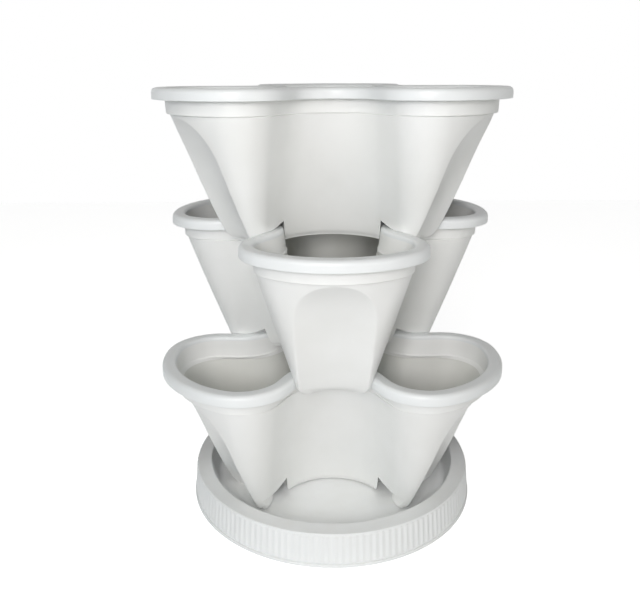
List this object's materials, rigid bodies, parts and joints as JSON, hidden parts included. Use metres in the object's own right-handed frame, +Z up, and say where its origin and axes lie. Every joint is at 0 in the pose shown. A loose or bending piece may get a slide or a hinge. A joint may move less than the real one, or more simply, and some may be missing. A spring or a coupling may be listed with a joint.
{
  "type": "vertical planter tower",
  "caption": "Stack of three-lobed planting pots, each turned between the lobes of the one below, standing in a round fluted drip tray.",
  "frame": {"origin": "on the surface that the tray stands on, under the middle of the tray", "axes": "+Z up through the middle of the stack, -Y towards the viewer of the picture: the middle pot has a lobe along -Y, the bottom and top pots a lobe along +Y"},
  "size_m": [0.3202, 0.3404, 0.4027],
  "materials": {
    "tray_plastic": "satin moulded white polypropylene",
    "pot_plastic": "satin moulded white polypropylene"
  },
  "bodies": {
    "tray": {"drip_tray": "tray_plastic"},
    "bottom_tier": {"bottom_pot": "pot_plastic"},
    "middle_tier": {"middle_pot": "pot_plastic"},
    "top_tier": {"top_pot": "pot_plastic"}
  },
  "joints": [
    {"name": "bottom_pot_lift", "type": "slide", "parent": "tray", "child": "bottom_tier", "axis": [0, 0, 1], "range_m": [0, 0.03]},
    {"name": "middle_pot_lift", "type": "slide", "parent": "bottom_tier", "child": "middle_tier", "axis": [0, 0, 1], "range_m": [0, 0.025]},
    {"name": "top_pot_lift", "type": "slide", "parent": "middle_tier", "child": "top_tier", "axis": [0, 0, 1], "range_m": [0, 0.025]}
  ]
}
